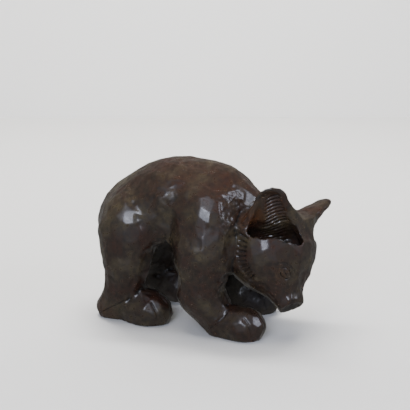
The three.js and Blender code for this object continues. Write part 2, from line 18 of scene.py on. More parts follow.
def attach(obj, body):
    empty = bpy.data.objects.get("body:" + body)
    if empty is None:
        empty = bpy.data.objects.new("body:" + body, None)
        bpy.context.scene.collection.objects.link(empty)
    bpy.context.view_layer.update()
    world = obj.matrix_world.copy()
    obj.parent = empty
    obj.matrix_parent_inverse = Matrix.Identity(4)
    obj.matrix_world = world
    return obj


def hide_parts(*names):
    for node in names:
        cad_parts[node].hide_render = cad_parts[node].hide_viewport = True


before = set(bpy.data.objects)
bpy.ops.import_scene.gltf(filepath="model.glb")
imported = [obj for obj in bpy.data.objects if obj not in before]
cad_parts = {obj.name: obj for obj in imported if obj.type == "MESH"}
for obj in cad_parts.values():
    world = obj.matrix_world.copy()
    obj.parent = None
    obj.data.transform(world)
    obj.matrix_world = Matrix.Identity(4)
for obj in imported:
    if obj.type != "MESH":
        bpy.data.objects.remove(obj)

log = logging.getLogger("bear_cub")
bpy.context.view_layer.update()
MM = 0.001
HOLLOW = "hollow"
STROKE_POINTS = 9
VIEW_TURN = math.radians(25)

Mark = tuple[float, float, float]


class Side(Enum):
    """The two sides of the cub; the value turns a left-hand measure to its side."""

    LEFT = 1
    RIGHT = -1


class Profile(Enum):
    """What a tool leaves across its path."""

    VEE = "a sharp groove of the parting tool"
    ROUND = "a soft hollow of the gouge"


class Wear(Enum):
    """What a tinted place shows: stain worn back to red, also used as painted light inside the
    ears' hollows, or painted shade; the value names the attribute.
    """

    RUST_AND_PAINTED_LIGHT = "rust_and_painted_light"
    PAINTED_SHADE = "painted_shade"


@dataclass(frozen=True)
class Stroke:
    """One stroke of a tool along points on the surface, in millimetres."""

    points: tuple[Vector, ...]
    width: float
    depth: float
    profile: Profile = Profile.VEE
    taper: float = 0.25

    def bite(self, aside: float, along: float) -> float:
        """Gives how deep the tool goes.

        Args:
            aside: the distance from the path, as a share of half the width.
            along: how far along the path, from 0 to 1.

        Returns:
            The depth in millimetres, negative where the wood is left standing proud.
        """
        if aside >= 1:
            return 0.0
        end = min(along, 1 - along) / self.taper if self.taper > 0 else 1.0
        strength = self.depth * math.sin(min(end, 1.0) * math.pi / 2)
        if self.profile is Profile.VEE:
            return strength * (1 - aside)
        return strength * (1 - aside * aside) ** 2


@dataclass(frozen=True)
class HeadPose:
    """Where the head hangs and how it is turned, bowed and tilted; the same as in the solid."""

    centre: Vector = Vector((84.5, -1.5, 90.0))
    turn: float = math.radians(35)
    bow: float = math.radians(49)
    tilt: float = math.radians(26)

    def matrix(self) -> Matrix:
        """Gives the head's axes as columns: forwards, to its left and up through the crown."""
        turned = Matrix.Rotation(-self.turn, 3, "Z") @ Matrix.Rotation(self.bow, 3, "Y")
        return turned @ Matrix.Rotation(-self.tilt, 3, "X")

    def place(self, forward: float, left: float, up: float) -> Vector:
        """Turns head measures to a point in the cub's frame."""
        return self.centre + self.matrix() @ Vector((forward, left, up))

    def way(self, forward: float, left: float, up: float) -> Vector:
        """Turns a direction in head measures to one in the cub's frame."""
        return (self.matrix() @ Vector((forward, left, up))).normalized()


@dataclass(frozen=True)
class WearOrPaintedLight:
    """A place where the stain is worn back to red, where red-brown is painted as light into an
    ear's hollow, or where painted shade lies dark and dull.
    """

    place: Vector
    radius: float
    strength: float = 1.0
    tint: Wear = Wear.RUST_AND_PAINTED_LIGHT

    def share(self, point: Vector) -> float:
        """Gives how strongly the wood differs at a point, from 0 to 1."""
        near = max(0.0, 1 - (point - self.place).length / self.radius)
        return self.strength * near * near * (3 - 2 * near)


class Block:
    """The carved block as a dense mesh in millimetres, which the tools below work on.

    Attributes:
        WELD_GAP: the distance in millimetres below which the solid's corners are joined.
        MOST_CORNERS: the most corners that a face keeps when the cells are halved.
        SURROUNDINGS: how wide a hollow's surroundings are taken, in rounds of smoothing.
    """

    WELD_GAP = 0.005
    MOST_CORNERS = 4
    SURROUNDINGS = 6

    def __init__(self, node: str, cell: float) -> None:
        """Copies the node's solid, closes its facets and skins it with even cells.

        Args:
            node: the name of the solid.
            cell: the size of a cell in millimetres.
        """
        solid = bmesh.new()
        solid.from_mesh(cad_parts[node].data)
        bmesh.ops.remove_doubles(solid, verts=solid.verts, dist=self.WELD_GAP * MM)
        bmesh.ops.scale(solid, vec=(1 / MM,) * 3, verts=solid.verts)
        mesh = bpy.data.meshes.new("block")
        solid.to_mesh(mesh)
        solid.free()
        rough = bpy.data.objects.new("block", mesh)
        bpy.context.scene.collection.objects.link(rough)
        skin = rough.modifiers.new("skin", "REMESH")
        skin.mode = "VOXEL"
        skin.voxel_size = cell
        evaluated = rough.evaluated_get(bpy.context.evaluated_depsgraph_get())
        self.mesh = bmesh.new()
        self.mesh.from_mesh(evaluated.to_mesh())
        evaluated.to_mesh_clear()
        bpy.data.objects.remove(rough)
        bpy.data.meshes.remove(mesh)
        self.cell = cell
        self.refresh()

    def refresh(self) -> None:
        """Measures the surface again after it has changed."""
        self.mesh.normal_update()
        self.mesh.verts.ensure_lookup_table()
        self.surface = BVHTree.FromBMesh(self.mesh)
        self.near = KDTree(len(self.mesh.verts))
        for vertex in self.mesh.verts:
            self.near.insert(vertex.co, vertex.index)
        self.near.balance()
        self.out = [vertex.normal.copy() for vertex in self.mesh.verts]

    def smooth(self, factor: float) -> None:
        """Moves each point by that share to the middle of its neighbours."""
        bmesh.ops.smooth_vert(
            self.mesh, verts=self.mesh.verts, factor=factor,
            use_axis_x=True, use_axis_y=True, use_axis_z=True,
        )

    def soften(self, rounds: int, shrink: float = 0.5, swell: float = -0.52) -> None:
        """Rubs the facets of the solid away and keeps its bulk.

        Args:
            rounds: how often the surface is rubbed.
            shrink: the share by which a point moves to the middle of its neighbours.
            swell: the share by which it moves back.
        """
        for _ in range(rounds):
            self.smooth(shrink)
            self.smooth(swell)
        for vertex in self.mesh.verts:
            vertex.co.z = max(vertex.co.z, 0.0)
        self.refresh()

    def land(self, start: Vector, way: Vector) -> Vector | None:
        """Finds where a straight line meets the surface, or None where it misses."""
        return self.surface.ray_cast(start, way.normalized())[0]

    def refine(self, strokes: Iterable[Stroke], spare: float = 1.0) -> None:
        """Halves the cells under the strokes, so that the tools leave crisp edges.

        Args:
            strokes: the strokes that will be cut.
            spare: how far past the strokes the fine cells reach, in millimetres.
        """
        under: set[int] = set()
        for stroke in strokes:
            for spot in walk(stroke.points, self.cell):
                found = self.near.find_range(spot, stroke.width / 2 + spare)
                under.update(index for _, index, _ in found)
        edges = {
            edge for index in under for edge in self.mesh.verts[index].link_edges
            if all(end.index in under for end in edge.verts)
        }
        bmesh.ops.subdivide_edges(self.mesh, edges=list(edges), cuts=1, use_grid_fill=True)
        wide = [face for face in self.mesh.faces if len(face.verts) > self.MOST_CORNERS]
        bmesh.ops.triangulate(self.mesh, faces=wide)
        self.refresh()

    def cut(self, strokes: Iterable[Stroke]) -> None:
        """Cuts strokes into the surface, each vertex as deep as the deepest stroke over it."""
        sunk: dict[int, float] = {}
        for stroke in strokes:
            spots = walk(stroke.points, self.cell / 2)
            half = stroke.width / 2
            closest: dict[int, tuple[float, float]] = {}
            for number, spot in enumerate(spots):
                along = number / max(len(spots) - 1, 1)
                for _, index, gap in self.near.find_range(spot, half):
                    if index not in closest or gap < closest[index][0]:
                        closest[index] = (gap, along)
            for index, (gap, along) in closest.items():
                depth = stroke.bite(gap / half, along)
                if abs(depth) > abs(sunk.get(index, 0.0)):
                    sunk[index] = depth
        for index, depth in sunk.items():
            self.mesh.verts[index].co -= self.out[index] * depth

    def hollows(self) -> list[float]:
        """Measures each point's millimetres below its surroundings, negative on ridges."""
        before = [vertex.co.copy() for vertex in self.mesh.verts]
        self.mesh.normal_update()
        out = [vertex.normal.copy() for vertex in self.mesh.verts]
        for _ in range(self.SURROUNDINGS):
            self.smooth(0.5)
        depths = [
            (vertex.co - place).dot(way)
            for vertex, place, way in zip(self.mesh.verts, before, out)
        ]
        for vertex, place in zip(self.mesh.verts, before):
            vertex.co = place
        return depths

    def piece(self, name: str, wear_and_painted_light: Iterable[WearOrPaintedLight]) -> bpy.types.Object:
        """Turns the finished block to metres and makes it an object.

        Args:
            name: the object's name.
            wear_and_painted_light: the places of worn red stain, of painted light in the ears and
                of painted shade.

        Returns:
            The object, with its hollows, its worn places, its painted light and its painted shade
            as attributes of its points.
        """
        values = {HOLLOW: self.hollows()}
        spots = tuple(wear_and_painted_light)
        for tint in Wear:
            same = [spot for spot in spots if spot.tint is tint]
            values[tint.value] = [
                max((spot.share(vertex.co) for spot in same), default=0.0)
                for vertex in self.mesh.verts
            ]
        bmesh.ops.scale(self.mesh, vec=(MM,) * 3, verts=self.mesh.verts)
        bmesh.ops.triangulate(self.mesh, faces=self.mesh.faces)
        self.mesh.normal_update()
        for face in self.mesh.faces:
            face.smooth = True
        mesh = bpy.data.meshes.new(name)
        self.mesh.to_mesh(mesh)
        self.mesh.free()
        for key, shares in values.items():
            mesh.attributes.new(key, "FLOAT", "POINT").data.foreach_set("value", shares)
        piece = bpy.data.objects.new(name, mesh)
        bpy.context.scene.collection.objects.link(piece)
        return piece


def walk(points: tuple[Vector, ...], step: float) -> list[Vector]:
    """Gives points along a path of straight pieces.

    Args:
        points: the corners of the path.
        step: the distance between two points, in millimetres.

    Returns:
        The points, from the first corner to the last.
    """
    spots = [points[0]]
    for start, end in zip(points, points[1:]):
        count = max(1, math.ceil((end - start).length / step))
        spots.extend(start.lerp(end, (i + 1) / count) for i in range(count))
    return spots


def even(count: int) -> list[float]:
    """Gives that many even steps from 0 to 1."""
    return [i / (count - 1) for i in range(count)]


def found(points: Iterable[Vector | None]) -> tuple[Vector, ...]:
    """Keeps the points where a line met the surface."""
    return tuple(point for point in points if point is not None)


@dataclass
class KnifeFacets:
    """The flat cuts that the knife left all over the rounded forms.

    Attributes:
        gap: the least distance between the middles of two facets, in millimetres.
        reach: how far the blade works from the middle, in millimetres.
        shallow: the least depth of the blade under the middle, in millimetres.
        deep: the greatest depth.
        most: the most that the blade takes off at a point, as a multiple of its depth.
        facing: the least cosine between the facet and the surface that it planes.
        fade: how steeply the cut runs out towards its reach.
        lean: how far a facet leans from the surface at its middle.
        sole: the height below which nothing is planed, in millimetres.
        seed: what the random draws start from.
        spared: the middles of places that stay as they are.
        spared_radius: how far those places reach, in millimetres.
    """

    gap: float = 11.0
    reach: float = 17.0
    shallow: float = 0.55
    deep: float = 1.3
    most: float = 1.6
    facing: float = 0.6
    fade: float = 3.0
    lean: float = 0.07
    sole: float = 2.5
    seed: int = 7
    spared: tuple[Vector, ...] = ()
    spared_radius: float = 24.0

    def carve(self, block: Block) -> None:
        """Planes facets over the block, each around one of its points."""
        chance = random.Random(self.seed)
        order = list(range(len(block.mesh.verts)))
        chance.shuffle(order)
        taken = Taken(self.gap)
        for index in order:
            spot = block.mesh.verts[index].co.copy()
            if spot.z < self.sole or not taken.claim(spot):
                continue
            if any((spot - middle).length < self.spared_radius for middle in self.spared):
                continue
            sink = chance.uniform(self.shallow, self.deep)
            tip = Vector([chance.uniform(-self.lean, self.lean) for _ in range(3)])
            self.plane(block, spot, (block.out[index] + tip).normalized(), sink)
        block.refresh()

    def plane(self, block: Block, spot: Vector, out: Vector, sink: float) -> None:
        """Planes one facet flat.

        Args:
            block: the block that is carved.
            spot: a point on the surface at the middle of the facet.
            out: the way out of the wood there.
            sink: how deep the blade goes under the spot, in millimetres.
        """
        base = spot - out * sink
        for _, index, gap in block.near.find_range(spot, self.reach):
            vertex = block.mesh.verts[index]
            over = (vertex.co - base).dot(out)
            if over > 0 and block.out[index].dot(out) > self.facing:
                fade = min(1.0, self.fade * (1 - gap / self.reach))
                vertex.co -= out * min(over, self.most * sink) * fade


class Taken:
    """Keeps points at least a distance apart."""

    AROUND = tuple(product((-1, 0, 1), repeat=3))

    def __init__(self, gap: float) -> None:
        """Starts with no points.

        Args:
            gap: the least distance, in millimetres.
        """
        self.gap = gap
        self.cells: dict[tuple[int, ...], list[Vector]] = {}

    def claim(self, point: Vector) -> bool:
        """Takes the point's place if it is free, and says whether it was."""
        home = tuple(math.floor(value / self.gap) for value in point)
        for i, j, k in self.AROUND:
            for other in self.cells.get((home[0] + i, home[1] + j, home[2] + k), ()):
                if (other - point).length < self.gap:
                    return False
        self.cells.setdefault(home, []).append(point.copy())
        return True


@dataclass
class HeadCarver:
    """Lays strokes on the head by its own measures."""

    head: HeadPose
    block: Block
    side: Side
    outside: float = 90

    def point(self, forward: float, left: float, up: float) -> Vector:
        """Finds the place on the surface in the direction of a head measure."""
        way = self.head.way(forward, self.side.value * left, up)
        start = self.head.centre + way * self.outside
        return self.block.land(start, -way) or start

    def path(self, *marks: Mark, count: int = STROKE_POINTS) -> tuple[Vector, ...]:
        """Lays a smooth path through marks given in head measures.

        Args:
            marks: at least two places, forwards, left and up.
            count: how many points the path has.

        Returns:
            The points on the surface.
        """
        spots = [Vector(mark) for mark in marks]
        last = len(spots) - 1

        def between(t: float) -> Vector:
            at = t * last
            i = min(int(at), last - 1)
            nearby = (spots[min(max(i + k, 0), last)] for k in (-1, 0, 1, 2))
            return bend(*nearby, at - i)

        return tuple(self.point(*between(t)) for t in even(count))


def bend(before: Vector, start: Vector, end: Vector, after: Vector, t: float) -> Vector:
    """Gives a point on a smooth curve from start to end.

    Args:
        before: the mark before the start, which the curve heeds.
        start: the mark where it starts.
        end: the mark where it ends.
        after: the mark after the end, which it heeds as well.
        t: how far along it, from 0 to 1.

    Returns:
        The point.
    """
    a = end - before
    b = after - start
    near, far = (1 - t) ** 2, t * t
    inner = (1 + 2 * t) * near * start + (3 - 2 * t) * far * end
    return inner + (t * near * a - far * (1 - t) * b) / 2


@dataclass
class Ruff:
    """The short cuts of the parting tool that radiate along the rear edge of each cheek."""

    cuts: int = 10
    forward: float = 24
    up: float = 36
    inner: float = 43.5
    outer: float = 57.5
    start: float = math.radians(219)
    end: float = math.radians(275)
    half_width: float = 54
    width: float = 4.2
    depth: float = 2.2

    def mark(self, angle: float, radius: float) -> Mark:
        """Gives the head measures of a place on the cheek."""
        forward = self.forward + radius * math.cos(angle)
        up = self.up + radius * math.sin(angle)
        return forward, math.sqrt(max(self.half_width**2 - forward**2 - up**2, 0)), up

    def strokes(self, carver: HeadCarver) -> list[Stroke]:
        """Lays the cuts on one cheek."""
        made = []
        for i in range(self.cuts):
            angle = self.start + (self.end - self.start) * i / (self.cuts - 1)
            path = carver.path(self.mark(angle, self.inner), self.mark(angle, self.outer))
            made.append(Stroke(path, self.width, self.depth))
        return made


@dataclass
class Eye:
    """One eye: a ball between two lids, with folds above and a short one below."""

    at: Vector = Vector((38, 25, 21))
    length_way: Vector = Vector((-0.54, 0.83, 0))
    height_way: Vector = Vector((-0.5, 0, 0.85))
    half_length: float = 8.5
    half_height: float = 6.0
    steps: int = 12
    width: float = 2.4
    depth: float = 1.9
    lids: tuple[float, float] = (1.0, -1.0)
    folds: tuple[float, ...] = (1.4, 1.8)
    fold_arc: tuple[float, float] = (20, 170)
    fold_depth: float = 0.7
    bag: tuple[float, float] = (1.5, -1.6)
    bag_arc: tuple[float, float] = (110, 175)
    bag_depth: float = 0.6
    ball_rise: float = 0.8
    pupil_width: float = 4.0
    pupil_depth: float = 1.5

    def arc(
        self, carver: HeadCarver, size: float, rise: float, start: float = 0, end: float = 180
    ) -> tuple[Vector, ...]:
        """Lays an arc round the eye.

        Args:
            carver: the hand that lays it.
            size: its length as a share of the eye's.
            rise: its height as a share of the eye's, negative for a lower lid.
            start: the angle where it starts, from the nose, in degrees.
            end: the angle where it ends.

        Returns:
            The points on the surface.
        """
        made = []
        for i in range(self.steps + 1):
            angle = math.radians(start + (end - start) * i / self.steps)
            along = -self.half_length * size * math.cos(angle)
            above = self.half_height * rise * math.sin(angle)
            mark = self.at + along * self.length_way + above * self.height_way
            made.append(carver.point(*mark))
        return tuple(made)

    def strokes(self, carver: HeadCarver) -> list[Stroke]:
        """Lays the ball, the pupil, the lids and the folds."""
        ball = (carver.point(*self.at),)
        made = [
            Stroke(ball, 2 * self.half_height, -self.ball_rise, Profile.ROUND, 0),
            Stroke(ball, self.pupil_width, self.pupil_depth, Profile.ROUND, 0),
        ]
        for lid in self.lids:
            made.append(Stroke(self.arc(carver, 1.0, lid), self.width, self.depth))
        for fold in self.folds:
            arc = self.arc(carver, fold, fold, *self.fold_arc)
            made.append(Stroke(arc, self.width, self.fold_depth * self.depth))
        bag = self.arc(carver, *self.bag, *self.bag_arc)
        return [*made, Stroke(bag, self.width, self.bag_depth * self.depth)]


@dataclass
class Muzzle:
    """The mouth, the edge of the nose pad and the nostril on one side.

    The marks are head measures, and each width and depth is in millimetres.
    """

    mouth: tuple[Mark, ...] = ((66, 3, -9), (58, 14, -10), (44, 25, -13))
    mouth_width: float = 2.2
    mouth_depth: float = 1.3
    pad: tuple[Mark, ...] = ((67, 2, 9), (63, 8, 7), (63, 12, 0), (65, 8, -7))
    pad_width: float = 1.8
    pad_depth: float = 0.8
    nostril: tuple[Mark, ...] = ((68, 5, 4), (67, 8, 1))
    nostril_width: float = 3.0
    nostril_depth: float = 1.6
    nostril_taper: float = 0.3
    nostril_points: int = 5

    def strokes(self, carver: HeadCarver) -> list[Stroke]:
        """Lays the mouth line, the edge of the nose pad and the nostril."""
        nostril = carver.path(*self.nostril, count=self.nostril_points)
        return [
            Stroke(carver.path(*self.mouth), self.mouth_width, self.mouth_depth),
            Stroke(carver.path(*self.pad), self.pad_width, self.pad_depth),
            Stroke(
                nostril, self.nostril_width, self.nostril_depth,
                Profile.ROUND, self.nostril_taper,
            ),
        ]


@dataclass
class Ear:
    """The inside of one ear: ridges in its recess and a fan of hair strokes under them.

    Attributes:
        back: where the ear's root lies, forwards of the head's centre.
        spread: how far it lies to the side.
        rise: how far up it lies.
        lean: how far the ear leans outwards.
        left_turn: how far the left ear is turned besides.
        left_back: how far behind the right one it stands.
        tip_way: the way from the root to the tip.
        open_way: the way out of the opening.
        in_front: how far in front of the root the strokes are laid out.
        recess_low: the middle of the recess's lower end, across and along the ear.
        recess_low_radius: half its width there.
        recess_high: the middle of its upper end.
        recess_high_radius: half its width there.
        recess_share: the share of that width that the ridges fill.
        ridges: how many ridges there are.
        ridge_rise: how steeply they rise.
        ridge_width: how wide the groove between two ridges is.
        ridge_depth: how deep it is.
        ridge_taper: the share of it over which it runs out at each end.
        fan: how many hair strokes there are.
        fan_start: where the lowest one starts, across and along the ear.
        fan_length: how far across they reach.
        fan_gap: how far above the lowest one the highest starts.
        fan_rise: how far the lowest one climbs, and how much more the highest does.
        fan_sag: how far they hang through.
        fan_width: how wide they are.
        fan_depth: how deep they are.
        fan_taper: the share of them over which they run out at each end.
    """

    back: float = -23
    spread: float = 30
    rise: float = 30
    lean: float = math.radians(5)
    left_turn: float = math.radians(14)
    left_back: float = 3
    tip_way: Vector = Vector((-0.45, 0.65, 0.61))
    open_way: Vector = Vector((0.87, 0.47, 0.14))
    in_front: float = 22
    recess_low: tuple[float, float] = (6, -3)
    recess_low_radius: float = 15
    recess_high: tuple[float, float] = (2, 33)
    recess_high_radius: float = 8
    recess_share: float = 0.95
    ridges: int = 9
    ridge_rise: float = 0.5
    ridge_width: float = 3.6
    ridge_depth: float = 1.7
    ridge_taper: float = 0.15
    fan: int = 6
    fan_start: tuple[float, float] = (-22, -29)
    fan_length: float = 46
    fan_gap: float = 9
    fan_rise: tuple[float, float] = (4, 20)
    fan_sag: float = 9
    fan_width: float = 2.4
    fan_depth: float = 1.2
    fan_taper: float = 0.3

    def axes(self, carver: HeadCarver) -> tuple[Vector, Vector, Vector]:
        """Gives the ways to the tip, out of the opening and across towards the other ear."""
        side = carver.side.value
        turn = self.left_turn if carver.side is Side.LEFT else 0.0
        leaning = Matrix.Rotation(turn, 3, "Y") @ Matrix.Rotation(-self.lean, 3, "X")

        def turned(way: Vector) -> Vector:
            return carver.head.matrix() @ leaning @ Vector((way.x, side * way.y, way.z))

        tip = turned(self.tip_way).normalized()
        opening = turned(self.open_way)
        opening = (opening - tip * opening.dot(tip)).normalized()
        return tip, opening, tip.cross(opening) * -side

    def ridge(self, share: float) -> list[tuple[float, float]]:
        """Gives places across and along the ear on one groove, the lowest at share 0."""
        low, high = self.recess_low_radius, self.recess_high_radius
        middle = [a + share * (b - a) for a, b in zip(self.recess_low, self.recess_high)]
        half = self.recess_share * (low + share * (high - low))
        ends = [half * (2 * t - 1) for t in even(STROKE_POINTS)]
        return [(middle[0] + end, middle[1] + self.ridge_rise * end) for end in ends]

    def hair(self, share: float) -> list[tuple[float, float]]:
        """Gives places across and along the ear on one hair stroke, the lowest at share 0."""
        start, foot = self.fan_start
        least, more = self.fan_rise
        marks = []
        for t in even(STROKE_POINTS):
            climb = foot + self.fan_gap * share + t * (least + more * share)
            marks.append((start + self.fan_length * t, climb - self.fan_sag * t * (1 - t)))
        return marks

    def strokes(self, carver: HeadCarver) -> list[Stroke]:
        """Lays the ridges and the hair strokes."""
        tip, opening, across = self.axes(carver)
        back = self.back - (self.left_back if carver.side is Side.LEFT else 0)
        root = carver.head.place(back, carver.side.value * self.spread, self.rise)

        def lay(marks: list[tuple[float, float]]) -> tuple[Vector, ...]:
            front = opening * self.in_front
            starts = (root + across * aside + tip * along + front for aside, along in marks)
            return found(carver.block.land(start, -opening) for start in starts)

        ridges = [
            Stroke(lay(self.ridge(share)), self.ridge_width, self.ridge_depth,
                   taper=self.ridge_taper)
            for share in even(self.ridges)
        ]
        hairs = [
            Stroke(lay(self.hair(share)), self.fan_width, self.fan_depth, taper=self.fan_taper)
            for share in even(self.fan)
        ]
        return [stroke for stroke in ridges + hairs if len(stroke.points) > 1]


@dataclass
class Foot:
    """The toes of one foot and the crease where it leaves the leg."""

    toes: Mark
    half: Mark
    crease: tuple[tuple[float, float], tuple[float, float]]
    offsets: tuple[float, ...] = (-0.5, 0.0, 0.5)
    start: float = 68
    end: float = -26
    splay: float = 0.4
    away: float = 1.6
    beside: float = 2
    width: float = 3.0
    depth: float = 1.6
    crease_width: float = 4.0
    crease_depth: float = 2.0

    def strokes(self, block: Block, side: Side) -> list[Stroke]:
        """Lays the lines between the toes and the crease."""
        x, y, z = self.toes
        made = []
        for offset in self.offsets:
            marks = []
            for t in even(STROKE_POINTS):
                angle = math.radians(self.start + (self.end - self.start) * t)
                ahead = Vector((self.half[0] * math.cos(angle), 0, self.half[2] * math.sin(angle)))
                aside = offset * self.half[1] * (1 + self.splay * math.cos(angle))
                start = Vector((x, y + aside, z)) + self.away * ahead
                marks.append(block.land(start, -ahead))
            made.append(Stroke(found(marks), self.width, self.depth))
        (x0, z0), (x1, z1) = self.crease
        outside = y + side.value * self.beside * self.half[1]
        inwards = Vector((0, -side.value, 0))
        marks = [
            block.land(Vector((x0 + t * (x1 - x0), outside, z0 + t * (z1 - z0))), inwards)
            for t in even(STROKE_POINTS)
        ]
        made.append(Stroke(found(marks), self.crease_width, self.crease_depth))
        return [stroke for stroke in made if len(stroke.points) > 1]


@dataclass
class Stipple:
    """The patch of small dents that a narrow gouge left on the nape."""

    start: Vector = Vector((46, -34, 158))
    end: Vector = Vector((50, -44, 132))
    radius: float = 15
    step: float = 3.0
    gap: float = 4.2
    narrow: float = 4.5
    wide: float = 8.0
    depth: float = 0.6
    seed: int = 11

    def strokes(self, block: Block) -> list[Stroke]:
        """Lays the dents on the points of the block near the patch's axis."""
        chance = random.Random(self.seed)
        near = {
            index: co.copy()
            for spot in walk((self.start, self.end), self.step)
            for co, index, _ in block.near.find_range(spot, self.radius)
        }
        order = sorted(near)
        chance.shuffle(order)
        taken = Taken(self.gap)
        made = []
        for index in order:
            if taken.claim(near[index]):
                width = chance.uniform(self.narrow, self.wide)
                made.append(Stroke((near[index],), width, self.depth, Profile.ROUND, 0))
        return made


def linear(colour: str) -> tuple[float, float, float, float]:
    """Turns an sRGB hex value to linear colour.

    Args:
        colour: the value, such as "#5a463a".

    Returns:
        Red, green, blue and an alpha of 1.
    """
    parts = [int(colour[i : i + 2], 16) / 255 for i in (1, 3, 5)]
    return (*(p / 12.92 if p <= 0.04045 else ((p + 0.055) / 1.055) ** 2.4 for p in parts), 1.0)


def node(
    tree: bpy.types.NodeTree,
    kind: str,
    settings: dict[str | int, object] | None = None,
    links: dict[str | int, bpy.types.NodeSocket] | None = None,
) -> bpy.types.Node:
    """Adds a node with its settings and links.

    Args:
        tree: the tree that the node joins.
        kind: the node's type.
        settings: values for its properties, or else for the inputs of that name.
        links: the outputs that feed its inputs.

    Returns:
        The node.
    """
    made = tree.nodes.new(kind)
    pending = dict(settings or {})
    for name in [name for name in pending if isinstance(name, str) and hasattr(made, name)]:
        setattr(made, name, pending.pop(name))
    for name, value in pending.items():
        socket(made, name).default_value = value
    for name, source in (links or {}).items():
        tree.links.new(source, socket(made, name))
    return made


def socket(made: bpy.types.Node, name: str | int) -> bpy.types.NodeSocket:
    """Finds the enabled input of that name or number."""
    if isinstance(name, int):
        return made.inputs[name]
    return next(entry for entry in made.inputs if entry.name == name and entry.enabled)


def attribute(tree: bpy.types.NodeTree, name: str) -> bpy.types.NodeSocket:
    """Adds a node that reads the attribute of that name."""
    return node(tree, "ShaderNodeAttribute", {"attribute_name": name}).outputs["Fac"]


def span(limits: tuple[float, float]) -> dict[str, float]:
    """Gives the settings for the values between which a map works."""
    return {"From Min": limits[0], "From Max": limits[1]}


def blend(
    tree: bpy.types.NodeTree,
    base: bpy.types.NodeSocket,
    colour: str,
    share: bpy.types.NodeSocket,
) -> bpy.types.NodeSocket:
    """Adds a node that lays a colour over another.

    Args:
        tree: the tree that it joins.
        base: the colour below.
        colour: the sRGB hex value of the colour above.
        share: how strongly it covers.

    Returns:
        The blended colour.
    """
    settings = {"data_type": "RGBA", "B": linear(colour)}
    return node(tree, "ShaderNodeMix", settings, {"A": base, "Factor": share}).outputs["Result"]


def ramp(made: bpy.types.Node, stops: list[tuple[float, str]]) -> None:
    """Sets the stops of a colour ramp from places and sRGB hex values."""
    elements = made.color_ramp.elements
    while len(elements) < len(stops):
        elements.new(0.5)
    for element, (place, colour) in zip(elements, stops):
        element.position = place
        element.color = linear(colour)


@dataclass(frozen=True)
class Pattern:
    """A cloudy noise."""

    size: float
    detail: float
    roughness: float

    def add(self, tree: bpy.types.NodeTree, place: bpy.types.NodeSocket) -> bpy.types.NodeSocket:
        """Adds the noise at those coordinates, and gives its value."""
        settings = {"Scale": 1 / self.size, "Detail": self.detail, "Roughness": self.roughness}
        return node(tree, "ShaderNodeTexNoise", settings, {"Vector": place}).outputs["Fac"]


